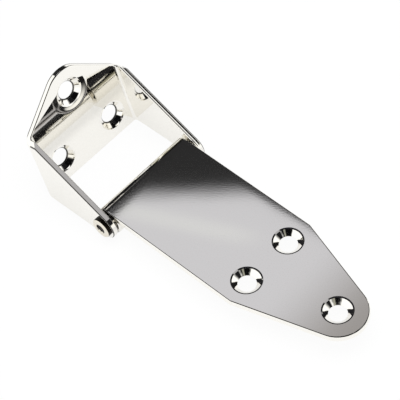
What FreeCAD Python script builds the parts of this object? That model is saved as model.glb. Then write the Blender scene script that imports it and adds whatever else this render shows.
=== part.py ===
import FreeCAD, Part
import math
import os

import Sketcher

# Hatch hinge, polished stainless steel, three pieces:
#   strap_leaf    flat strap with a tapered round tip, its other end rolled round the pin
#   bracket_leaf  one folded sheet: flat base with a tapered round tip and two upright ears
#   hinge_pin     headed pin, set over the far ear at its plain end
# Frame in millimetres: the origin is on the pin's axis, midway between the ears.
# Y runs along the pin, from its head to its set end. X runs along the strap to its tip.
# Z is up, out of the strap's countersunk face.

SIZES = {
    # sheet that both leaves are pressed from
    "sheet_thick": 2.0,
    "edge_round": 0.5,
    "face_round": 0.35,
    "back_bevel": 0.2,
    "sink_bevel": 0.3,
    # countersunk screw holes
    "hole_dia": 6.2,
    "sink_dia": 9.9,
    "sink_angle": 90.0,
    # hinge pin
    "pin_dia": 5.8,
    "knuckle_gap": 0.05,
    "ear_gap": 0.02,
    "head_dia": 7.2,
    "head_high": 1.3,
    "head_bevel": 0.25,
    "recess_dia": 3.6,
    "recess_deep": 0.3,
    "set_dia": 7.4,
    "set_rim": 0.35,
    "set_rise": 0.55,
    # strap leaf
    "strap_wide": 38.0,
    "strap_row": 52.8,
    "strap_pitch": 19.5,
    "strap_corner": 54.0,
    "strap_tip_hole": 82.1,
    "strap_tip_round": 10.1,
    "roll_angle": 300.0,
    # bracket leaf, measured from the pin's axis
    "side_gap": 0.7,
    "pin_height": 26.7,
    "edge_offset": 0.9,
    "bracket_row": 9.3,
    "bracket_margin": 8.0,
    "bracket_corner": 26.9,
    "corner_trim": 0.5,
    "bracket_tip_hole": 29.95,
    "bracket_tip_round": 9.2,
    "bend_inside": 1.0,
    "ear_round": 4.8,
    # fold between the leaves, counted from lying open flat
    "fold_angle": 76.5,
}

# Sizes that follow from the ones above, as spreadsheet formulas.
DERIVED = {
    "pin_rad": "=pin_dia / 2",
    "knuckle_bore": "=pin_rad + knuckle_gap",
    "knuckle_rad": "=knuckle_bore + sheet_thick",
    "strap_end": "=strap_tip_hole + strap_tip_round",
    "ear_inside": "=strap_wide / 2 + side_gap",
    "ear_outside": "=ear_inside + sheet_thick",
    "bracket_pitch": "=2 * (ear_inside - bracket_margin)",
    "bend_outside": "=bend_inside + sheet_thick",
    "base_under": "=pin_height + sheet_thick",
    "bracket_end": "=bracket_tip_hole + bracket_tip_round",
    "ear_bore": "=pin_rad + ear_gap",
    "head_face": "=ear_outside + head_high",
    "set_edge": "=ear_outside + set_rim",
    "trim": "=4 * sheet_thick",
}


def make_sheet(doc):
    """Puts every driving and derived size in one spreadsheet."""
    sheet = doc.addObject("Spreadsheet::Sheet", "Sizes")
    row = 1
    for table in (SIZES, DERIVED):
        for name, value in table.items():
            sheet.set(f"A{row}", name)
            sheet.set(f"B{row}", str(value))
            sheet.setAlias(f"B{row}", name)
            row += 1
    doc.recompute()
    return sheet


class Drawing:
    """A sketch on one of its body's own origin planes, with its dimensions bound to the sheet."""

    def __init__(self, body, name, plane, lift=None):
        planes = [f for f in body.Origin.OriginFeatures if f.Role == plane]
        self.sketch = body.newObject("Sketcher::SketchObject", name)
        self.sketch.AttachmentSupport = [(planes[0], "")]
        self.sketch.MapMode = "FlatFace"
        if lift:
            self.sketch.setExpression("AttachmentOffset.Base.z", lift)

    def line(self, start, end):
        a = FreeCAD.Vector(start[0], start[1], 0)
        b = FreeCAD.Vector(end[0], end[1], 0)
        return self.sketch.addGeometry(Part.LineSegment(a, b), False)

    def arc(self, centre, radius, start, end):
        c = FreeCAD.Vector(centre[0], centre[1], 0)
        circle = Part.Circle(c, FreeCAD.Vector(0, 0, 1), radius)
        arc = Part.ArcOfCircle(circle, math.radians(start), math.radians(end))
        return self.sketch.addGeometry(arc, False)

    def circle(self, centre, radius):
        c = FreeCAD.Vector(centre[0], centre[1], 0)
        return self.sketch.addGeometry(Part.Circle(c, FreeCAD.Vector(0, 0, 1), radius), False)

    def rule(self, *args):
        return self.sketch.addConstraint(Sketcher.Constraint(*args))

    def size(self, formula, *args):
        """Adds a dimension and binds it to a formula of the sheet's names."""
        index = self.sketch.addConstraint(Sketcher.Constraint(*args))
        self.sketch.setExpression(f"Constraints[{index}]", formula)

    def chain(self, edges, smooth=()):
        """Joins edges into a closed loop. An edge is (index, first point, last point).

        A joint whose place in the loop is listed as smooth is tangent as well.
        """
        for place, (this, following) in enumerate(zip(edges, edges[1:] + edges[:1])):
            kind = "Tangent" if place in smooth else "Coincident"
            self.rule(kind, this[0], this[2], following[0], following[1])


# How a drawing numbers the points of an edge, its origin and its axes.
START, END, CENTRE = range(1, 4)
X_AXIS, Y_AXIS = range(-1, -3, -1)
ORIGIN = (X_AXIS, START)


def values(sheet):
    """Reads every size back from the sheet."""
    return {name: float(sheet.get(name)) for name in list(SIZES) + list(DERIVED)}


def formula(text):
    """Turns bare size names into references to the sheet."""
    words = []
    for word in text.split(" "):
        words.append(f"Sizes.{word}" if word in SIZES or word in DERIVED else word)
    return " ".join(words)


def pad_across(doc, body, drawing, name, width):
    """Pads a side view equally to both sides of the middle plane."""
    pad = body.newObject("PartDesign::Pad", name)
    pad.Profile = drawing.sketch
    pad.SideType = "Symmetric"
    pad.setExpression("Length", formula(width))
    drawing.sketch.Visibility = False
    doc.recompute()
    return pad


def cut_through(doc, body, drawing, name):
    """Cuts a profile right through the body, to both sides of its plane."""
    cut = body.newObject("PartDesign::Pocket", name)
    cut.Profile = drawing.sketch
    cut.SideType = "Symmetric"
    cut.Type = "ThroughAll"
    drawing.sketch.Visibility = False
    doc.recompute()
    return cut


def sunk_holes(doc, body, drawing, name):
    """Drills the countersunk holes of a leaf from the face that its drawing lies on."""
    hole = body.newObject("PartDesign::Hole", name)
    hole.Profile = drawing.sketch
    doc.recompute()
    hole.Threaded = False
    hole.ThreadType = "None"
    hole.DepthType = "ThroughAll"
    hole.HoleCutType = "Countersink"
    hole.HoleCutCustomValues = True
    hole.setExpression("Diameter", formula("hole_dia"))
    hole.setExpression("HoleCutDiameter", formula("sink_dia"))
    hole.setExpression("HoleCutCountersinkAngle", formula("sink_angle"))
    drawing.sketch.Visibility = False
    doc.recompute()
    return hole


def round_edges(doc, body, base, edges, size, name):
    """Rounds some of a feature's edges, given as their places in its shape."""
    polish = body.newObject("PartDesign::Fillet", name)
    polish.Base = (base, [f"Edge{place}" for place in edges])
    polish.setExpression("Radius", formula(size))
    doc.recompute()
    return polish


def bevel_edges(doc, body, base, edges, size, name):
    """Bevels some of a feature's edges, given as their places in its shape."""
    bevel = body.newObject("PartDesign::Chamfer", name)
    bevel.Base = (base, [f"Edge{place}" for place in edges])
    bevel.setExpression("Size", formula(size))
    doc.recompute()
    return bevel


def spots_along(edge):
    """Five points along an edge, its ends among them."""
    first, last = edge.FirstParameter, edge.LastParameter
    return [edge.valueAt(first + (last - first) * k / 4) for k in range(5)]


def on_sink_rim(edge, v, level):
    """True for the wide circle of a countersink, where it opens in the face at a level."""
    if edge.Curve.TypeId != "Part::GeomCircle":
        return False
    return abs(edge.Curve.Radius - v["sink_dia"] / 2) < 1e-4 and abs(edge.Curve.Center.z - level) < 1e-4


def places(shape, test, *sizes):
    """Places, counted from one, of the edges of a shape that pass a test."""
    return [place for place, edge in enumerate(shape.Edges, 1) if test(edge, *sizes)]


def frame_round(drawing, reach_formula, side_formula, reach, side):
    """Draws the oblong round an outline, so that a pocket takes away all that lies between."""
    corners = [(-reach, -side), (reach, -side), (reach, side), (-reach, side)]
    edges = [drawing.line(a, b) for a, b in zip(corners, corners[1:] + corners[:1])]
    drawing.chain([(edge, START, END) for edge in edges])
    for level in (edges[0], edges[2]):
        drawing.rule("Horizontal", level)
    drawing.rule("Symmetric", edges[0], START, edges[2], START, *ORIGIN)
    for upright in (edges[1], edges[3]):
        drawing.rule("Vertical", upright)
    drawing.size(formula(reach_formula), "DistanceX", *ORIGIN, edges[0], END, reach)
    drawing.size(formula(side_formula), "DistanceY", *ORIGIN, edges[2], START, side)


def tangent_point(centre_x, radius, corner_x, corner_y, way):
    """Where the straight side from a corner touches a round tip that points along X by way."""
    dx, dy = corner_x - centre_x, corner_y
    reach = math.hypot(dx, dy)
    angle = math.atan2(dy, dx) - way * math.acos(radius / reach)
    return centre_x + radius * math.cos(angle), radius * math.sin(angle)


def hole_circles(drawing, v, row, pitch, tip, way):
    """Two holes in a row across the leaf and one at its tip, on the middle line."""
    radius = v["hole_dia"] / 2
    spots = [(way * v[row], v[pitch] / 2), (way * v[row], -v[pitch] / 2), (way * v[tip], 0)]
    rings = [drawing.circle(spot, radius) for spot in spots]
    drawing.size(formula("hole_dia / 2"), "Radius", rings[0], radius)
    drawing.rule("Equal", rings[0], rings[1])
    drawing.rule("Equal", rings[0], rings[2])
    drawing.rule("Symmetric", rings[0], CENTRE, rings[1], CENTRE, X_AXIS)
    drawing.rule("PointOnObject", rings[2], CENTRE, X_AXIS)
    drawing.size(formula(pitch), "DistanceY", rings[1], CENTRE, rings[0], CENTRE, v[pitch])
    for ring, distance in ((rings[0], row), (rings[2], tip)):
        if way > 0:
            drawing.size(formula(distance), "DistanceX", *ORIGIN, ring, CENTRE, v[distance])
        else:
            drawing.size(formula(distance), "DistanceX", ring, CENTRE, *ORIGIN, v[distance])


def strap_side_view(body, v):
    """Side view of the strap: the flat, then the end rolled down and round the pin."""
    outer, inner, far = v["knuckle_rad"], v["knuckle_bore"], v["strap_end"]
    d = Drawing(body, "StrapSide", "XZ_Plane")
    finish = 90 + v["roll_angle"]
    turn = math.radians(finish)
    roll_out = d.arc((0, 0), outer, 90, finish)
    tail = d.line((outer * math.cos(turn), outer * math.sin(turn)),
                  (inner * math.cos(turn), inner * math.sin(turn)))
    roll_in = d.arc((0, 0), inner, 90, finish)
    under = d.line((0, inner), (far, inner))
    tip = d.line((far, inner), (far, outer))
    top = d.line((far, outer), (0, outer))
    d.chain([(roll_out, START, END), (tail, START, END), (roll_in, END, START),
             (under, START, END), (tip, START, END), (top, START, END)])
    d.rule("Coincident", roll_out, CENTRE, *ORIGIN)
    d.rule("Coincident", roll_in, CENTRE, *ORIGIN)
    d.rule("PointOnObject", roll_out, START, Y_AXIS)
    d.rule("PointOnObject", roll_in, START, Y_AXIS)
    d.rule("Horizontal", under)
    d.rule("Horizontal", top)
    d.rule("Vertical", tip)
    d.rule("PointOnObject", *ORIGIN, tail)
    d.size(formula("knuckle_rad"), "Radius", roll_out, outer)
    d.size(formula("knuckle_bore"), "Radius", roll_in, inner)
    d.size(formula("strap_end"), "DistanceX", *ORIGIN, tip, END, far)
    d.size(formula("knuckle_rad * sin( ( roll_angle - 270 ) * 1 deg )"),
           "DistanceY", *ORIGIN, tail, START, outer * math.sin(turn))
    return d


def strap_plan(body, v):
    """Plan of the strap: straight sides, a corner each side, then a taper to the round tip."""
    half, corner = v["strap_wide"] / 2, v["strap_corner"]
    centre, radius, trim = v["strap_tip_hole"], v["strap_tip_round"], v["trim"]
    back = v["knuckle_rad"] + trim / 2
    touch = tangent_point(centre, radius, corner, half, 1)
    d = Drawing(body, "StrapPlan", "XY_Plane")
    low = math.degrees(math.atan2(-touch[1], touch[0] - centre))
    end = d.line((-back, half), (-back, -half))
    side_low = d.line((-back, -half), (corner, -half))
    taper_low = d.line((corner, -half), (touch[0], -touch[1]))
    round_tip = d.arc((centre, 0), radius, low, -low)
    taper_up = d.line(touch, (corner, half))
    side_up = d.line((corner, half), (-back, half))
    d.chain([(end, START, END), (side_low, START, END), (taper_low, START, END),
             (round_tip, START, END), (taper_up, START, END), (side_up, START, END)], smooth=(2, 3))
    d.rule("Vertical", end)
    d.rule("Horizontal", side_low)
    d.rule("Horizontal", side_up)
    d.rule("Symmetric", side_low, END, side_up, START, X_AXIS)
    d.rule("PointOnObject", round_tip, CENTRE, X_AXIS)
    d.size(formula("strap_wide"), "DistanceY", side_low, END, side_up, START, 2 * half)
    d.size(formula("strap_corner"), "DistanceX", *ORIGIN, side_up, START, corner)
    d.size(formula("strap_tip_hole"), "DistanceX", *ORIGIN, round_tip, CENTRE, centre)
    d.size(formula("strap_tip_round"), "Radius", round_tip, radius)
    d.size(formula("knuckle_rad + trim / 2"), "DistanceX", end, START, *ORIGIN, back)
    frame_round(d, "strap_end + trim", "strap_wide / 2 + trim", centre + radius + trim, half + trim)
    return d


def on_outer_rim(edge, v):
    """True for an edge where the strap's outer face, flat or rolled, meets its cut sides."""
    points = spots_along(edge)
    outer, half = v["knuckle_rad"], v["strap_wide"] / 2
    for p in points:
        on_flat = p.x > -0.01 and abs(p.z - outer) < 1e-4
        on_roll = p.x < 0.01 and abs(math.hypot(p.x, p.z) - outer) < 1e-4
        if not (on_flat or on_roll):
            return False
    along_side = all(abs(abs(p.y) - half) < 1e-4 for p in points)
    round_the_tip = points[0].x > v["strap_corner"] - 0.01 and points[4].x > v["strap_corner"] - 0.01
    clear_of_hole = abs(math.hypot(points[2].x - v["strap_tip_hole"], points[2].y)) > v["sink_dia"] / 2 + 0.5
    away_from_row = points[2].x > v["strap_row"] + v["sink_dia"] / 2 or abs(points[2].y) > v["strap_pitch"]
    return along_side or (round_the_tip and clear_of_hole and away_from_row)


def make_strap(doc, v):
    """The strap leaf: rolled end, flat, tapered round tip and three countersunk holes."""
    body = doc.addObject("PartDesign::Body", "StrapLeaf")
    body.Label = "strap_leaf"
    pad_across(doc, body, strap_side_view(body, v), "StrapBlank", "strap_wide + trim")
    cut_through(doc, body, strap_plan(body, v), "StrapOutline")
    holes = Drawing(body, "StrapHoles", "XY_Plane", formula("knuckle_rad"))
    hole_circles(holes, v, "strap_row", "strap_pitch", "strap_tip_hole", 1)
    drilled = sunk_holes(doc, body, holes, "StrapSinks")
    rims = places(drilled.Shape, on_outer_rim, v)
    smooth = round_edges(doc, body, drilled, rims, "edge_round", "StrapEdgeRound")
    sinks = places(smooth.Shape, on_sink_rim, v, v["knuckle_rad"])
    bevel_edges(doc, body, smooth, sinks, "sink_bevel", "StrapSinkBevel")
    return body


def bracket_section(body, v):
    """Cross-section of the bracket: base and two ears with round bends, as a channel."""
    inside, outside = v["ear_inside"], v["ear_outside"]
    floor_in, floor_out = -v["pin_height"], -v["base_under"]
    bend_in, bend_out = v["bend_inside"], v["bend_outside"]
    rim = v["ear_round"] + v["trim"]
    d = Drawing(body, "BracketSection", "YZ_Plane")
    bend_y, bend_z = inside - bend_in, floor_in + bend_in
    top_r = d.line((outside, rim), (inside, rim))
    ear_in_r = d.line((inside, rim), (inside, bend_z))
    bend_in_r = d.arc((bend_y, bend_z), bend_in, -90, 0)
    base_in = d.line((bend_y, floor_in), (-bend_y, floor_in))
    bend_in_l = d.arc((-bend_y, bend_z), bend_in, 180, 270)
    ear_in_l = d.line((-inside, bend_z), (-inside, rim))
    top_l = d.line((-inside, rim), (-outside, rim))
    ear_out_l = d.line((-outside, rim), (-outside, bend_z))
    bend_out_l = d.arc((-bend_y, bend_z), bend_out, 180, 270)
    base_out = d.line((-bend_y, floor_out), (bend_y, floor_out))
    bend_out_r = d.arc((bend_y, bend_z), bend_out, -90, 0)
    ear_out_r = d.line((outside, bend_z), (outside, rim))
    d.chain([(top_r, START, END), (ear_in_r, START, END), (bend_in_r, END, START),
             (base_in, START, END), (bend_in_l, END, START), (ear_in_l, START, END),
             (top_l, START, END), (ear_out_l, START, END), (bend_out_l, START, END),
             (base_out, START, END), (bend_out_r, START, END), (ear_out_r, START, END)],
            smooth=(1, 2, 3, 4, 7, 8, 9, 10))
    for level in (top_r, base_in, top_l):
        d.rule("Horizontal", level)
    for upright in (ear_in_r, ear_in_l, ear_out_l, ear_out_r):
        d.rule("Vertical", upright)
    d.rule("Coincident", bend_in_r, CENTRE, bend_out_r, CENTRE)
    d.rule("Coincident", bend_in_l, CENTRE, bend_out_l, CENTRE)
    d.rule("Equal", bend_in_r, bend_in_l)
    d.rule("Symmetric", top_l, START, top_r, END, Y_AXIS)
    d.size(formula("bend_inside"), "Radius", bend_in_r, bend_in)
    d.size(formula("sheet_thick"), "DistanceX", top_r, END, top_r, START, v["sheet_thick"])
    d.size(formula("sheet_thick"), "DistanceX", top_l, END, top_l, START, v["sheet_thick"])
    d.size(formula("ear_inside"), "DistanceX", *ORIGIN, top_r, END, inside)
    d.size(formula("ear_round + trim"), "DistanceY", *ORIGIN, top_r, END, rim)
    d.size(formula("pin_height"), "DistanceY", base_in, START, *ORIGIN, -floor_in)
    return d


def tangent_from(point, radius, side):
    """Where a line from a point touches the ear's round end about the origin."""
    reach = math.hypot(point[0], point[1])
    angle = math.atan2(point[1], point[0]) + side * math.acos(radius / reach)
    return radius * math.cos(angle), radius * math.sin(angle)


def bracket_side_view(body, v):
    """Side view of the bracket: the base seen on edge and the ears rising to the pin."""
    edge, corner, end = -v["edge_offset"], -v["bracket_corner"], -v["bracket_end"]
    inner, under, radius, trim = -v["pin_height"], -v["base_under"], v["ear_round"], v["trim"]
    free = tangent_from((corner, inner), radius, -1)
    lower = tangent_from((edge, under), radius, 1)
    d = Drawing(body, "BracketSide", "XZ_Plane")
    back = d.line((edge, under), (end, under))
    tip = d.line((end, under), (end, inner))
    face = d.line((end, inner), (corner, inner))
    free_edge = d.line((corner, inner), free)
    start = math.degrees(math.atan2(lower[1], lower[0]))
    stop = math.degrees(math.atan2(free[1], free[0]))
    round_end = d.arc((0, 0), radius, start, stop if stop > start else stop + 360)
    lower_edge = d.line(lower, (edge, under))
    d.chain([(back, START, END), (tip, START, END), (face, START, END), (free_edge, START, END),
             (round_end, END, START), (lower_edge, START, END)], smooth=(3, 4))
    d.rule("Coincident", round_end, CENTRE, *ORIGIN)
    d.rule("Horizontal", back)
    d.rule("Horizontal", face)
    d.rule("Vertical", tip)
    d.size(formula("ear_round"), "Radius", round_end, radius)
    d.size(formula("edge_offset"), "DistanceX", lower_edge, END, *ORIGIN, -edge)
    d.size(formula("bracket_corner"), "DistanceX", face, END, *ORIGIN, -corner)
    d.size(formula("bracket_end + trim / 2"), "DistanceX", tip, START, *ORIGIN, -end + trim / 2)
    d.size(formula("pin_height"), "DistanceY", face, END, *ORIGIN, -inner)
    d.size(formula("base_under"), "DistanceY", back, START, *ORIGIN, -under)
    frame_round(d, "bracket_end + trim * 3", "base_under + trim * 2", v["bracket_end"] + trim * 3,
                v["base_under"] + trim * 2)
    return d


def bracket_plan(body, v):
    """Plan of the bracket: a straight taper across each bend and on to the round tip."""
    fold_line = v["ear_inside"] - v["bend_inside"] - v["corner_trim"]
    wide = v["ear_outside"] + v["trim"] / 2
    corner, centre = -v["bracket_corner"], -v["bracket_tip_hole"]
    radius, trim = v["bracket_tip_round"], v["trim"]
    front = v["ear_round"] + trim / 2
    touch = tangent_point(centre, radius, corner, fold_line, -1)
    start = corner + (corner - touch[0]) * (wide - fold_line) / (fold_line - touch[1])
    d = Drawing(body, "BracketPlan", "XY_Plane")
    angle = math.degrees(math.atan2(touch[1], touch[0] - centre))
    end = d.line((front, -wide), (front, wide))
    side_up = d.line((front, wide), (start, wide))
    taper_up = d.line((start, wide), touch)
    round_tip = d.arc((centre, 0), radius, angle, 360 - angle)
    taper_low = d.line((touch[0], -touch[1]), (start, -wide))
    side_low = d.line((start, -wide), (front, -wide))
    fold_end = d.sketch.addGeometry(Part.Point(FreeCAD.Vector(corner, fold_line, 0)), True)
    d.chain([(end, START, END), (side_up, START, END), (taper_up, START, END),
             (round_tip, START, END), (taper_low, START, END), (side_low, START, END)], smooth=(2, 3))
    d.rule("Horizontal", side_up)
    d.rule("Symmetric", end, START, end, END, X_AXIS)
    d.rule("Symmetric", taper_up, START, taper_low, END, X_AXIS)
    d.rule("PointOnObject", round_tip, CENTRE, X_AXIS)
    d.rule("PointOnObject", fold_end, START, taper_up)
    d.size(formula("bracket_tip_round"), "Radius", round_tip, radius)
    d.size(formula("bracket_tip_hole"), "DistanceX", round_tip, CENTRE, *ORIGIN, -centre)
    d.size(formula("bracket_corner"), "DistanceX", fold_end, START, *ORIGIN, -corner)
    d.size(formula("ear_inside - bend_inside - corner_trim"),
           "DistanceY", *ORIGIN, fold_end, START, fold_line)
    d.size(formula("ear_outside + trim / 2"), "DistanceY", *ORIGIN, end, END, wide)
    d.size(formula("ear_round + trim / 2"), "DistanceX", *ORIGIN, end, START, front)
    frame_round(d, "bracket_end + trim * 3", "ear_outside + trim * 1.5",
                v["bracket_end"] + trim * 3, wide + trim)
    return d


def on_sheet_rim(edge, v, depth):
    """True for an edge where a cut side meets the bracket's face at a depth from its inner face."""
    points = spots_along(edge)
    bend_y, bend_z = v["ear_inside"] - v["bend_inside"], v["bend_inside"] - v["pin_height"]
    along_bend = abs(points[0].y - points[4].y) < 1e-4 and abs(points[0].z - points[4].z) < 1e-4
    if along_bend or len(edge.Vertexes) == 1:
        return False
    for p in points:
        if abs(p.y) > bend_y and p.z < bend_z:
            off_face = math.hypot(abs(p.y) - bend_y, p.z - bend_z) - v["bend_inside"] - depth
        elif p.z < bend_z:
            off_face = p.z + v["pin_height"] + depth
        else:
            off_face = abs(p.y) - v["ear_inside"] - depth
        if abs(off_face) > 1e-3:
            return False
    return True


def make_bracket(doc, v):
    """The bracket leaf: one folded sheet with a sunk-hole base and two ears for the pin."""
    body = doc.addObject("PartDesign::Body", "BracketLeaf")
    body.Label = "bracket_leaf"
    pad_across(doc, body, bracket_section(body, v), "BracketChannel", "2 * bracket_end + 4 * trim")
    cut_through(doc, body, bracket_side_view(body, v), "BracketEars")
    cut_through(doc, body, bracket_plan(body, v), "BracketOutline")
    bore = Drawing(body, "PinHoles", "XZ_Plane")
    ring = bore.circle((0, 0), v["ear_bore"])
    bore.rule("Coincident", ring, CENTRE, *ORIGIN)
    bore.size(formula("ear_bore"), "Radius", ring, v["ear_bore"])
    cut_through(doc, body, bore, "BracketPinHoles")
    holes = Drawing(body, "BracketHoles", "XY_Plane", formula("0 - pin_height"))
    hole_circles(holes, v, "bracket_row", "bracket_pitch", "bracket_tip_hole", -1)
    drilled = sunk_holes(doc, body, holes, "BracketSinks")
    rims = places(drilled.Shape, on_sheet_rim, v, 0)
    smooth = round_edges(doc, body, drilled, rims, "face_round", "BracketEdgeRound")
    rims = places(smooth.Shape, on_sheet_rim, v, v["sheet_thick"])
    eased = bevel_edges(doc, body, smooth, rims, "back_bevel", "BracketBackBevel")
    sinks = places(eased.Shape, on_sink_rim, v, -v["pin_height"])
    bevel_edges(doc, body, eased, sinks, "sink_bevel", "BracketSinkBevel")
    return body


def make_pin(doc, v):
    """The hinge pin: a thick head with a bevelled rim and a recess, a plain shank and a set end."""
    body = doc.addObject("PartDesign::Body", "HingePin")
    body.Label = "hinge_pin"
    seat, shank, head, set_rad = v["ear_outside"], v["pin_rad"], v["head_dia"] / 2, v["set_dia"] / 2
    bevel, recess, deep = v["head_bevel"], v["recess_dia"] / 2, v["recess_deep"]
    face, far, crown = -v["head_face"], v["set_edge"], v["set_rise"]
    corners = [
        ((0, face + deep), "0", "head_face - recess_deep"),
        ((recess - deep, face + deep), "recess_dia / 2 - recess_deep", "head_face - recess_deep"),
        ((recess, face), "recess_dia / 2", "head_face"),
        ((head - bevel, face), "head_dia / 2 - head_bevel", "head_face"),
        ((head, face + bevel), "head_dia / 2", "head_face - head_bevel"),
        ((head, -seat), "head_dia / 2", "ear_outside"),
        ((shank, -seat), "pin_rad", "ear_outside"),
        ((shank, seat), "pin_rad", "ear_outside"),
        ((set_rad, seat), "set_dia / 2", "ear_outside"),
        ((set_rad, far), "set_dia / 2", "set_edge"),
        ((set_rad * 0.7, far + crown * 0.75), "set_dia * 0.35", "set_edge + set_rise * 0.75"),
        ((0, far + crown), "0", "set_edge + set_rise"),
    ]
    spots = [spot for spot, across, along in corners]
    d = Drawing(body, "PinProfile", "XY_Plane")
    edges = [d.line(a, b) for a, b in zip(spots, spots[1:] + spots[:1])]
    d.chain([(edge, START, END) for edge in edges])
    for edge, (spot, across, along) in zip(edges, corners):
        if across == "0":
            d.rule("PointOnObject", edge, START, Y_AXIS)
        else:
            d.size(formula(across), "DistanceX", *ORIGIN, edge, START, spot[0])
        if spot[1] < 0:
            d.size(formula(along), "DistanceY", edge, START, *ORIGIN, -spot[1])
        else:
            d.size(formula(along), "DistanceY", *ORIGIN, edge, START, spot[1])
    turned = body.newObject("PartDesign::Revolution", "PinTurned")
    turned.Profile = d.sketch
    turned.ReferenceAxis = (d.sketch, ["V_Axis"])
    turned.Angle = 360
    d.sketch.Visibility = False
    doc.recompute()
    return body


def fold(body, v):
    """Turns a piece that moves with the bracket from lying open flat to the fold angle."""
    turn = FreeCAD.Rotation(FreeCAD.Vector(0, 1, 0), v["fold_angle"])
    body.Placement = FreeCAD.Placement(FreeCAD.Vector(0, 0, 0), turn)
    body.setExpression("Placement.Rotation.Angle", formula("fold_angle * 1 deg"))


def check(doc, bodies):
    """Stops if any object failed, or a piece is not one valid solid."""
    for item in doc.Objects:
        for state in item.State:
            if state in ("Invalid", "Error"):
                raise RuntimeError(f"{item.Name} is {state}")
    for body in bodies:
        shape = body.Shape
        if shape.isNull() or not shape.isValid() or len(shape.Solids) != 1:
            raise RuntimeError(f"{body.Label} is not one valid solid")


def main():
    doc = FreeCAD.newDocument("HatchHinge")
    sheet = make_sheet(doc)
    v = values(sheet)
    strap = make_strap(doc, v)
    bracket = make_bracket(doc, v)
    pin = make_pin(doc, v)
    strap.Placement = FreeCAD.Placement()
    fold(bracket, v)
    fold(pin, v)
    doc.recompute()
    bodies = [strap, bracket, pin]
    check(doc, bodies)
    os.makedirs("parts", exist_ok=True)
    for body in bodies:
        body.Shape.exportStep(f"parts/{body.Label}.step")
        print(body.Label, round(body.Shape.Volume, 1), body.Shape.BoundBox)


main()
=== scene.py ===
import math

import bmesh
import bpy
from mathutils import Matrix, Vector


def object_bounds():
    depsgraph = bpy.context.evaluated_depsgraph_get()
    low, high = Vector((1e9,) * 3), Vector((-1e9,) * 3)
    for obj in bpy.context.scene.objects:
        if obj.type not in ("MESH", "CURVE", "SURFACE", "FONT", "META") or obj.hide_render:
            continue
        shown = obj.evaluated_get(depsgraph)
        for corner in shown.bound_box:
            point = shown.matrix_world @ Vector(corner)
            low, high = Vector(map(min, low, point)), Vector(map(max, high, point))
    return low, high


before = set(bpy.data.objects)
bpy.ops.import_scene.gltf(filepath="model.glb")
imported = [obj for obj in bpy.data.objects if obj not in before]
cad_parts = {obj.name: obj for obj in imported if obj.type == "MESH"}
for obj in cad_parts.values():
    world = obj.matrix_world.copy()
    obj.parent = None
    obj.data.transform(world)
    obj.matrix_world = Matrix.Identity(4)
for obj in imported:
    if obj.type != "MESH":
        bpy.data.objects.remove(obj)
cad_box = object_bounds()

MM = 0.001
X_AXIS = Vector((1.0, 0.0, 0.0))
Y_AXIS = Vector((0.0, 1.0, 0.0))
Z_AXIS = Vector((0.0, 0.0, 1.0))
WHITE = (1, 1, 1, 1)


def linear(hex_colour):
    """An sRGB hex colour as the linear RGBA that shaders take."""
    channels = [int(hex_colour[i:i + 2], 16) / 255 for i in (1, 3, 5)]
    return [c / 12.92 if c <= 0.04045 else ((c + 0.055) / 1.055) ** 2.4 for c in channels] + [1.0]


def add_node(tree, kind, settings=None, links=None, values=None):
    """Adds a node with its settings, its unlinked inputs' values and the links to its inputs."""
    node = tree.nodes.new(kind)
    for name, value in (settings or {}).items():
        setattr(node, name, value)
    for socket, value in (values or {}).items():
        node.inputs[socket].default_value = value
    for socket, output in (links or {}).items():
        tree.links.new(output, node.inputs[socket])
    return node


def new_material(name):
    """An empty node material, its tree and its output node."""
    material = bpy.data.materials.new(name)
    material.use_nodes = True
    tree = material.node_tree
    tree.nodes.clear()
    return material, tree, add_node(tree, "ShaderNodeOutputMaterial")


def inside_edges(tree, vector, edges):
    """A factor that is one inside several soft straight edges and zero outside any of them.

    An edge is a direction, and the reach along it where the inside starts and where it is full.
    """
    factor = None
    for direction, start, full in edges:
        reach = add_node(tree, "ShaderNodeVectorMath", {"operation": "DOT_PRODUCT"},
                         links={0: vector}, values={1: direction})
        soft = add_node(tree, "ShaderNodeMapRange", {"interpolation_type": "SMOOTHSTEP"},
                        links={"Value": reach.outputs["Value"]},
                        values={"From Min": start, "From Max": full})
        if factor is None:
            factor = soft.outputs["Result"]
        else:
            both = add_node(tree, "ShaderNodeMath", {"operation": "MULTIPLY"},
                            links={0: factor, 1: soft.outputs["Result"]})
            factor = both.outputs["Value"]
    return factor


def strongest(tree, factors):
    """The largest of several factors."""
    largest = factors[0]
    for factor in factors[1:]:
        either = add_node(tree, "ShaderNodeMath", {"operation": "MAXIMUM"}, links={0: largest, 1: factor})
        largest = either.outputs["Value"]
    return largest


def seen_directly(tree):
    """One for what the camera sees, mirrored in metal or through a gap too, and zero for plain light."""
    path = add_node(tree, "ShaderNodeLightPath")
    rays = ("Is Camera Ray", "Is Glossy Ray", "Is Transmission Ray")
    return path, strongest(tree, [path.outputs[ray] for ray in rays])


# Stainless steel. Both leaves are pressed from bright rolled sheet and buffed on a soft wheel.
# They mirror the room, with a broad weak swell from the rolling and a fine grain from the wheel.
# Sizes and depths are in millimetres.

STEEL_TINT = linear("#FAF8F3")
STEEL_DULL = linear("#F3F1EB")
SWELL_MM, SWELL_DEEP = 7.0, 0.002
GRAIN_MM, GRAIN_DEEP = 0.45, 0.0003
BUFFED_ROUGH, DULL_ROUGH = 0.04, 0.4

# Streaks of the buffing wheel on the strap. They slant across it by 0.72 radians.
STREAK_TURN, STREAK_LONG, STREAK_WIDE, STREAK_DEEP = 0.72, 1.6, 0.45, 0.0007

# Where the tip hole of the bracket's base was punched, the metal round it is drawn down.
TIP_HOLE = Vector((-32.95, 0.0, 22.89)) * MM
DRAWN_FROM, DRAWN_TO, DRAWN_DEEP = 4.4, 8.0, 0.22
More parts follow.
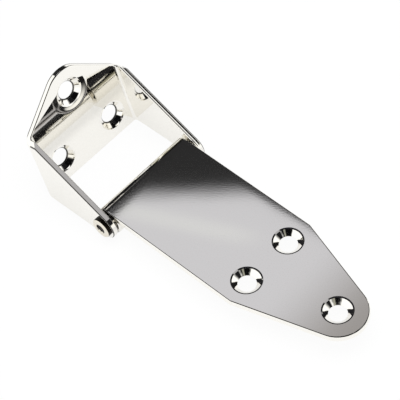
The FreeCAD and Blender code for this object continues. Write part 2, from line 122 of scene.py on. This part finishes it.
# Beyond a crease on either side of that hole, the tip falls back a little.
ALONG_BASE = Vector((-0.23345, 0.0, 0.97237))
CREASE_SLANT, CREASE_AT, CREASE_LONG, CREASE_DEEP = 0.4, 34.3, 12.0, 2.1
# The cut edge of the ear on the set side keeps two ridges of the shear, across its thickness.
SHEAR_FROM, SHEAR_PITCH, SHEAR_DEEP = 19.7, 1.0, 0.07
# That ear starts here, and its ridges with it.
FAR_EAR_FROM, FAR_EAR_FULL = 19.68, 19.8
# A sheared edge is rough and dull next to the outer face, with a dark line painted along it as painted
# shade: round the base's tip, and round the ears.
# OUT points out of the base, through its outer face.
CUT_EDGE_SHADE = linear("#5B5A57")
OUT = Vector((-0.97237, 0.0, -0.23345))
CUT_EDGE_SHADE_ZONES = [
    [(OUT, 28.1, 28.3), (-OUT, -28.695, -28.68)],
    [(Y_AXIS, 21.3, 21.45), (-Y_AXIS, -21.695, -21.68), (-OUT, -25.6, -25.4)],
    [(-Y_AXIS, 21.3, 21.45), (Y_AXIS, -21.695, -21.68), (-OUT, -25.6, -25.4)],
]
# Painted shade: a dark colour laid on the strap in the narrow gap between its rolled end and the head-side
# ear, and on the pin's head.
PAINTED_SHADE = linear("#1F1C18")
GAP_SHADE_EDGES = [
    [(-Y_AXIS, 18.7, 18.9), (-X_AXIS, -5.0, -2.5)],
]


def buffed_steel(name, marks, painted_shade_colour, painted_shade_edges):
    """Mirror-buffed steel. Marks adds the reliefs that only this piece has. Inside the edges it is rougher
    and painted darker, as painted shade.
    """
    material, tree, out = new_material(name)
    place = add_node(tree, "ShaderNodeTexCoord")
    spot = place.outputs["Object"]
    broad = add_node(tree, "ShaderNodeTexNoise", links={"Vector": spot},
                     values={"Scale": 1 / (SWELL_MM * MM), "Detail": 0.0})
    fine = add_node(tree, "ShaderNodeTexNoise", links={"Vector": spot},
                    values={"Scale": 1 / (GRAIN_MM * MM), "Detail": 1.0})
    reliefs = [(broad.outputs["Fac"], SWELL_DEEP), (fine.outputs["Fac"], GRAIN_DEEP)]
    reliefs += marks(tree, spot)
    shade = add_node(tree, "ShaderNodeMix", {"data_type": "RGBA"}, links={"Factor": fine.outputs["Fac"]},
                     values={"A": STEEL_TINT, "B": STEEL_DULL})
    on_mm = add_node(tree, "ShaderNodeVectorMath", {"operation": "SCALE"}, links={0: spot},
                     values={"Scale": 1 / MM})
    # painted shade: inside the edges the colour is mixed towards a dark colour, and the metal is rougher
    # there
    shade_and_dull = strongest(tree, [inside_edges(tree, on_mm.outputs["Vector"], edges) for edges in painted_shade_edges])
    shade_painted = add_node(tree, "ShaderNodeMix", {"data_type": "RGBA"},
                      links={"Factor": shade_and_dull, "A": shade.outputs["Result"]}, values={"B": painted_shade_colour})
    rough = add_node(tree, "ShaderNodeMapRange", links={"Value": shade_and_dull},
                     values={"To Min": BUFFED_ROUGH, "To Max": DULL_ROUGH})
    metal = add_node(tree, "ShaderNodeBsdfPrincipled",
                     links={"Base Color": shade_painted.outputs["Result"], "Roughness": rough.outputs["Result"]},
                     values={"Metallic": 1.0})
    add_reliefs(tree, metal, reliefs)
    tree.links.new(metal.outputs["BSDF"], out.inputs["Surface"])
    return material


def add_reliefs(tree, metal, reliefs):
    """Lays reliefs over one another. Each is a height from 0 to 1 and its depth in millimetres."""
    normal = None
    for height, depth in reliefs:
        bump = add_node(tree, "ShaderNodeBump", links={"Height": height}, values={"Distance": depth * MM})
        if normal is not None:
            tree.links.new(normal, bump.inputs["Normal"])
        normal = bump.outputs["Normal"]
    tree.links.new(normal, metal.inputs["Normal"])


def buffing_streaks(tree, spot):
    """Faint streaks that the wheel left slantwise on the strap."""
    slant = add_node(tree, "ShaderNodeMapping", {"vector_type": "TEXTURE"}, links={"Vector": spot},
                     values={"Rotation": (0, 0, STREAK_TURN),
                             "Scale": (STREAK_LONG * MM, STREAK_WIDE * MM, MM)})
    streaks = add_node(tree, "ShaderNodeTexNoise", links={"Vector": slant.outputs["Vector"]},
                       values={"Scale": 1.0, "Detail": 1.0})
    return [(streaks.outputs["Fac"], STREAK_DEEP)]


def press_marks(tree, spot):
    """Marks of the press on the bracket: the dish and crease at its tip hole, and the sheared ear."""
    away = add_node(tree, "ShaderNodeVectorMath", {"operation": "DISTANCE"}, links={0: spot},
                    values={1: TIP_HOLE})
    dish = add_node(tree, "ShaderNodeMapRange", {"interpolation_type": "SMOOTHSTEP"},
                    links={"Value": away.outputs["Value"]},
                    values={"From Min": DRAWN_FROM * MM, "From Max": DRAWN_TO * MM})
    axes = add_node(tree, "ShaderNodeSeparateXYZ", links={"Vector": spot})
    along = add_node(tree, "ShaderNodeVectorMath", {"operation": "DOT_PRODUCT"}, links={0: spot},
                     values={1: ALONG_BASE})
    aside = add_node(tree, "ShaderNodeMath", {"operation": "ABSOLUTE"}, links={0: axes.outputs["Y"]})
    slanted = add_node(tree, "ShaderNodeMath", {"operation": "MULTIPLY_ADD"},
                       links={0: aside.outputs["Value"], 2: along.outputs["Value"]},
                       values={1: CREASE_SLANT})
    tip = add_node(tree, "ShaderNodeMapRange", links={"Value": slanted.outputs["Value"]},
                   values={"From Min": CREASE_AT * MM, "From Max": (CREASE_AT + CREASE_LONG) * MM})
    turns = add_node(tree, "ShaderNodeMapRange", {"clamp": False}, links={"Value": axes.outputs["Y"]},
                     values={"From Min": SHEAR_FROM * MM, "From Max": (SHEAR_FROM + SHEAR_PITCH) * MM,
                             "To Max": math.tau})
    wave = add_node(tree, "ShaderNodeMath", {"operation": "COSINE"}, links={0: turns.outputs["Result"]})
    far_ear = add_node(tree, "ShaderNodeMapRange", links={"Value": axes.outputs["Y"]},
                       values={"From Min": FAR_EAR_FROM * MM, "From Max": FAR_EAR_FULL * MM})
    ridges = add_node(tree, "ShaderNodeMath", {"operation": "MULTIPLY"},
                      links={0: wave.outputs["Value"], 1: far_ear.outputs["Result"]})
    return [(dish.outputs["Result"], DRAWN_DEEP), (tip.outputs["Result"], -CREASE_DEEP),
            (ridges.outputs["Value"], -SHEAR_DEEP)]


# The pin is turned bar. Its head's flank and the corner of its recess are painted dark, as painted shade.

PIN_TINT = linear("#EFEBE0")
PIN_DULL = linear("#DDD6C6")
PIN_ROUGH, PAINTED_SHADE_ROUGH = 0.1, 0.5
SPECK_MM, SPECK_DEEP = 0.8, 0.01
# The painted shade in the recess lies only where the speck pattern is above these heights.
PATCH_FROM, PATCH_FULL = 0.4, 0.55
# Edges are in millimetres out from the pin's axis and along it.
FLANK = [(Y_AXIS, -22.80, -22.74), (-Y_AXIS, 21.5, 21.6)]
RECESS = [(X_AXIS, 1.35, 1.5), (-X_AXIS, -1.9, -1.75), (-Y_AXIS, 22.6, 22.7)]


def pin_steel():
    """Turned steel, specked a little, with painted shade on the head's flank and in its recess."""
    material, tree, out = new_material("turned_stainless_pin")
    place = add_node(tree, "ShaderNodeTexCoord")
    flat = add_node(tree, "ShaderNodeVectorMath", {"operation": "MULTIPLY"},
                    links={0: place.outputs["Object"]}, values={1: (1 / MM, 0, 1 / MM)})
    radius = add_node(tree, "ShaderNodeVectorMath", {"operation": "LENGTH"},
                      links={0: flat.outputs["Vector"]})
    axes = add_node(tree, "ShaderNodeSeparateXYZ", links={"Vector": place.outputs["Object"]})
    along = add_node(tree, "ShaderNodeMath", {"operation": "MULTIPLY"}, links={0: axes.outputs["Y"]},
                     values={1: 1 / MM})
    # millimetres out from the pin's axis, and along it
    section = add_node(tree, "ShaderNodeCombineXYZ",
                       links={"X": radius.outputs["Value"], "Y": along.outputs["Value"]})
    flank = inside_edges(tree, section.outputs["Vector"], FLANK)
    recess = inside_edges(tree, section.outputs["Vector"], RECESS)
    specks = add_node(tree, "ShaderNodeTexNoise", links={"Vector": place.outputs["Object"]},
                      values={"Scale": 1 / (SPECK_MM * MM), "Detail": 3.0})
    patchy = add_node(tree, "ShaderNodeMapRange", links={"Value": specks.outputs["Fac"]},
                      values={"From Min": PATCH_FROM, "From Max": PATCH_FULL})
    recess_shade = add_node(tree, "ShaderNodeMath", {"operation": "MULTIPLY"},
                      links={0: recess, 1: patchy.outputs["Result"]})
    # painted shade on the head's flank and in patches of its recess, where the metal is also rougher
    dark = strongest(tree, [flank, recess_shade.outputs["Value"]])
    clean = add_node(tree, "ShaderNodeMix", {"data_type": "RGBA"}, links={"Factor": specks.outputs["Fac"]},
                     values={"A": PIN_TINT, "B": PIN_DULL})
    shade = add_node(tree, "ShaderNodeMix", {"data_type": "RGBA"},
                     links={"Factor": dark, "A": clean.outputs["Result"]}, values={"B": PAINTED_SHADE})
    rough = add_node(tree, "ShaderNodeMapRange", links={"Value": dark},
                     values={"To Min": PIN_ROUGH, "To Max": PAINTED_SHADE_ROUGH})
    metal = add_node(tree, "ShaderNodeBsdfPrincipled",
                     links={"Base Color": shade.outputs["Result"], "Roughness": rough.outputs["Result"]},
                     values={"Metallic": 1.0})
    add_reliefs(tree, metal, [(specks.outputs["Fac"], SPECK_DEEP)])
    tree.links.new(metal.outputs["BSDF"], out.inputs["Surface"])
    return material


steels = {
    # the strap gets painted shade in its gap by the head-side ear, and the bracket a painted dark line
    # along its cut edges
    "strap_leaf": buffed_steel("buffed_stainless_strap", buffing_streaks, PAINTED_SHADE, GAP_SHADE_EDGES),
    "bracket_leaf": buffed_steel("buffed_stainless_bracket", press_marks, CUT_EDGE_SHADE, CUT_EDGE_SHADE_ZONES),
    "hinge_pin": pin_steel(),
}
for node, steel in steels.items():
    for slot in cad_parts[node].material_slots:
        slot.material = steel


# Camera, at the photograph's place. The picture is square.

CAMERA_AT = Vector((342.68, -262.41, 570.79)) * MM
CAMERA_RIGHT = Vector((0.7269, 0.6803, -0.0945))
CAMERA_UP = Vector((-0.5113, 0.6279, 0.5868))
LENS_PX = 2180.57
PICTURE_PX = 400
SENSOR_MM = 36.0


def make_camera():
    """A long lens that looks down on the hinge from beyond the strap's tip."""
    data = bpy.data.cameras.new("camera")
    data.sensor_width = SENSOR_MM
    data.lens = LENS_PX / PICTURE_PX * SENSOR_MM
    data.clip_start, data.clip_end = 0.01, 20
    camera = bpy.data.objects.new("camera", data)
    bpy.context.collection.objects.link(camera)
    right = CAMERA_RIGHT.normalized()
    back = right.cross(CAMERA_UP).normalized()
    turn = Matrix((right, back.cross(right), back)).transposed()
    camera.matrix_world = Matrix.Translation(CAMERA_AT) @ turn.to_4x4()
    bpy.context.scene.camera = camera


make_camera()


# Studio: a white floor, soft white light from above, and a room that the polished faces mirror.
# The room is white low down. Its far ceiling and back are unlit, and one light panel hangs overhead.

FLOOR_Z = cad_box[0].z
PAPER = (0.9, 0.9, 0.9, 1)
# How far the paper is bleached to plain white, as the camera sees it and as the metal mirrors it.
BLEACH_SEEN, BLEACH_MIRRORED = 0.93, 0.75
PLAIN_LIGHT = 0.55
# The lamp's place and size are in metres, and the cards' in millimetres.
LAMP_AT, LAMP_SIZE, LAMP_WATTS = (0.1, 0.0, 1.3), 1.2, 14.0
FLOOR_REACH = 3000
PANEL_HEIGHT = 570.8
PANEL_LOW, PANEL_HIGH = (-1000, -20), (-80, 470)
PANEL_UNLIT = linear("#2C2C2D")
PANEL_LIGHT = linear("#D2D2D8")
PANEL_FOLD_LIGHT = linear("#DCDDE0")
PANEL_FAR_LIGHT = linear("#A09D9D")
# Where the camera's image stands, mirrored in the strap's flat face.
MIRRORED_EYE = Vector((342.7, -262.4, -560.9))
STRAP_TOP = 4.95

# Edges of the panel's light part, in millimetres along and across the strap that mirrors it.
PANEL_EDGES = [
    (X_AXIS, 2.0, 3.3),
    ((1.0, -1.15, 0.0), 4.2, 19.0),
    ((0.06, -1.0, 0.0), -15.5, -13.9),
]
# The light browns a little towards the strap's tip.
PANEL_FAR = [(X_AXIS, 62, 92)]
# A fold in the panel's cloth glows a little.
PANEL_FOLD = [
    ((0.46, -1.0, 0.0), 11, 16.7),
    ((-0.46, 1.0, 0.0), -22.5, -16.7),
    (-X_AXIS, -50, -35),
]

# The lit room is a little brighter than white paper.
ROOM_WHITE = (1.16, 1.16, 1.14, 1)
# What stands out in the room: a colour, and the edges of the directions that it fills.
ROOM_PARTS = [
    # unlit ceiling on the far side
    ("#26262A", [(Z_AXIS, 0.52, 0.60), ((-0.9135, 0.0, 0.4067), -0.25, 0.05)]),
    # unlit back of the room, down to the floor on the left and above a white table on the right
    ("#1C1C1E", [(Z_AXIS, 0.03, 0.15), (Y_AXIS, 0.15, 0.30), (-X_AXIS, -0.05, 0.10)]),
    ("#1C1C1E", [(Z_AXIS, 0.28, 0.42), (Y_AXIS, -0.05, 0.10), (-Y_AXIS, -0.75, -0.60)]),
    # grey skylight overhead
    ("#B4B3B6", [((0.244, 0.343, 0.907), 0.984, 0.993)]),
    # camera, its stand and the dark cloth behind them
    ("#0B0B0C", [((0.596, -0.456, 0.66), 0.788, 0.829), (Z_AXIS, 0.49, 0.55)]),
    # olive grey wall
    ("#A4A396", [((0.788, -0.366, 0.493), 0.985, 0.997)]),
]


def flat_card(name, low, high, z, material):
    """A level card of the stage between two corners, in millimetres."""
    sheet = bmesh.new()
    bmesh.ops.create_grid(sheet, x_segments=1, y_segments=1, size=0.5)
    bmesh.ops.scale(sheet, verts=sheet.verts, vec=((high[0] - low[0]) * MM, (high[1] - low[1]) * MM, 1))
    bmesh.ops.translate(sheet, verts=sheet.verts,
                        vec=((high[0] + low[0]) / 2 * MM, (high[1] + low[1]) / 2 * MM, z * MM))
    mesh = bpy.data.meshes.new(name)
    sheet.to_mesh(mesh)
    sheet.free()
    card = bpy.data.objects.new(name, mesh)
    card.data.materials.append(material)
    bpy.context.collection.objects.link(card)
    return card


def panel_material():
    """The overhead panel, drawn in the millimetres of the strap that mirrors it."""
    material, tree, out = new_material("studio_overhead_panel")
    growth = (PANEL_HEIGHT - MIRRORED_EYE.z) / (STRAP_TOP - MIRRORED_EYE.z)
    place = add_node(tree, "ShaderNodeTexCoord")
    on_strap = add_node(tree, "ShaderNodeMapping", links={"Vector": place.outputs["Object"]},
                        values={"Scale": (1 / MM / growth, 1 / MM / growth, 0),
                                "Location": MIRRORED_EYE * (1 - 1 / growth)})
    spot = on_strap.outputs["Vector"]
    fold = inside_edges(tree, spot, PANEL_FOLD)
    cloth = add_node(tree, "ShaderNodeMix", {"data_type": "RGBA"}, links={"Factor": fold},
                     values={"A": PANEL_LIGHT, "B": PANEL_FOLD_LIGHT})
    far = inside_edges(tree, spot, PANEL_FAR)
    light = add_node(tree, "ShaderNodeMix", {"data_type": "RGBA"},
                     links={"Factor": far, "A": cloth.outputs["Result"]}, values={"B": PANEL_FAR_LIGHT})
    lit = inside_edges(tree, spot, PANEL_EDGES)
    shade = add_node(tree, "ShaderNodeMix", {"data_type": "RGBA"},
                     links={"Factor": lit, "B": light.outputs["Result"]}, values={"A": PANEL_UNLIT})
    glow = add_node(tree, "ShaderNodeEmission", links={"Color": shade.outputs["Result"]})
    tree.links.new(glow.outputs["Emission"], out.inputs["Surface"])
    return material


def floor_material():
    """White paper floor, with a faint shadow that shows more in what the metal mirrors of it."""
    material, tree, out = new_material("studio_white_floor")
    paper = add_node(tree, "ShaderNodeBsdfDiffuse", values={"Color": PAPER})
    white = add_node(tree, "ShaderNodeEmission", values={"Color": WHITE})
    path, seen = seen_directly(tree)
    bleach = add_node(tree, "ShaderNodeMapRange", links={"Value": path.outputs["Is Camera Ray"]},
                      values={"To Min": BLEACH_MIRRORED, "To Max": BLEACH_SEEN})
    bleached = add_node(tree, "ShaderNodeMixShader",
                        links={"Fac": bleach.outputs["Result"], 1: paper.outputs["BSDF"],
                               2: white.outputs["Emission"]})
    whole = add_node(tree, "ShaderNodeMixShader",
                     links={"Fac": seen, 1: paper.outputs["BSDF"], 2: bleached.outputs["Shader"]})
    tree.links.new(whole.outputs["Shader"], out.inputs["Surface"])
    return material


def make_world():
    """Plain light for the floor, white behind the object, and the room for the metal to mirror."""
    world = bpy.data.worlds.new("studio")
    bpy.context.scene.world = world
    world.use_nodes = True
    tree = world.node_tree
    tree.nodes.clear()
    out = add_node(tree, "ShaderNodeOutputWorld")
    way = add_node(tree, "ShaderNodeTexCoord")
    room = None
    for colour, edges in ROOM_PARTS:
        inside = inside_edges(tree, way.outputs["Generated"], edges)
        part = add_node(tree, "ShaderNodeMix", {"data_type": "RGBA"}, links={"Factor": inside},
                        values={"A": ROOM_WHITE, "B": linear(colour)})
        if room is not None:
            tree.links.new(room, part.inputs["A"])
        room = part.outputs["Result"]
    path, seen = seen_directly(tree)
    shown = add_node(tree, "ShaderNodeMix", {"data_type": "RGBA"},
                     links={"Factor": path.outputs["Is Camera Ray"], "A": room}, values={"B": WHITE})
    view = add_node(tree, "ShaderNodeBackground", links={"Color": shown.outputs["Result"]})
    plain = add_node(tree, "ShaderNodeBackground", values={"Color": WHITE, "Strength": PLAIN_LIGHT})
    both = add_node(tree, "ShaderNodeMixShader",
                    links={"Fac": seen, 1: plain.outputs["Background"], 2: view.outputs["Background"]})
    tree.links.new(both.outputs["Shader"], out.inputs["Surface"])


def make_stage():
    """The floor, the panel and a soft lamp over them."""
    flat_card("floor", (-FLOOR_REACH, -FLOOR_REACH), (FLOOR_REACH, FLOOR_REACH), FLOOR_Z / MM,
              floor_material())
    panel = flat_card("overhead_panel", PANEL_LOW, PANEL_HIGH, PANEL_HEIGHT, panel_material())
    # only polished metal sees the panel, and it casts no light or shadow
    panel.visible_camera = False
    panel.visible_diffuse = False
    panel.visible_shadow = False
    panel.visible_transmission = False
    panel.visible_volume_scatter = False
    data = bpy.data.lights.new("overhead_softbox", "AREA")
    data.shape, data.size = "SQUARE", LAMP_SIZE
    data.energy = LAMP_WATTS
    lamp = bpy.data.objects.new("overhead_softbox", data)
    lamp.location = LAMP_AT
    lamp.visible_glossy = False
    bpy.context.collection.objects.link(lamp)


make_world()
make_stage()
bpy.context.scene.view_settings.view_transform = "Standard"
